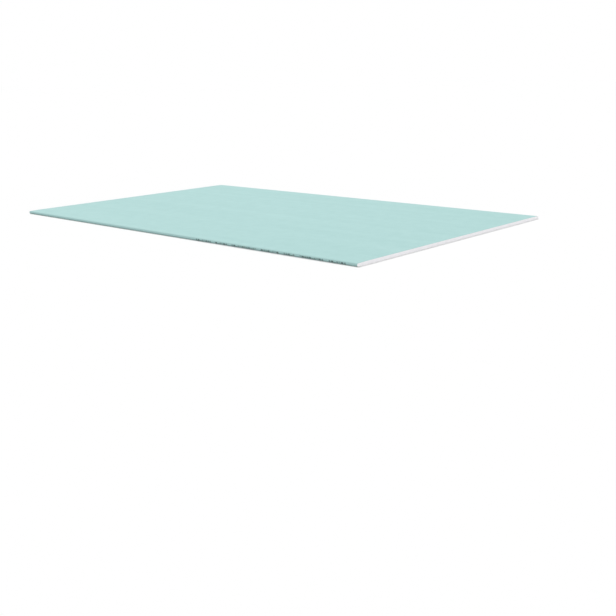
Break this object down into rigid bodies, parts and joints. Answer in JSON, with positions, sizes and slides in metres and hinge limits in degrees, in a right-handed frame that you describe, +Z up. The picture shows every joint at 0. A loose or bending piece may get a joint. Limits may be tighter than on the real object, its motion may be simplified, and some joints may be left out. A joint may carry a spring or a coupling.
{
  "type": "drywall sheet",
  "caption": "Moisture-resistant drywall sheet: gypsum core in mint-green face paper that wraps the tapered, half-round long edges, square-cut white ends.",
  "frame": {"origin": "middle of the underside, on the surface that the sheet lies on", "axes": "+X along the length, towards one cut end; +Y across the width, towards one long edge; +Z up, out of the face"},
  "size_m": [2, 1.25, 0.0125],
  "materials": {
    "gypsum": "matte",
    "face_paper": "matte",
    "back_paper": "matte"
  },
  "bodies": {
    "root": {"gypsum_core": "gypsum", "face_paper": "face_paper", "back_paper": "back_paper"}
  },
  "joints": []
}
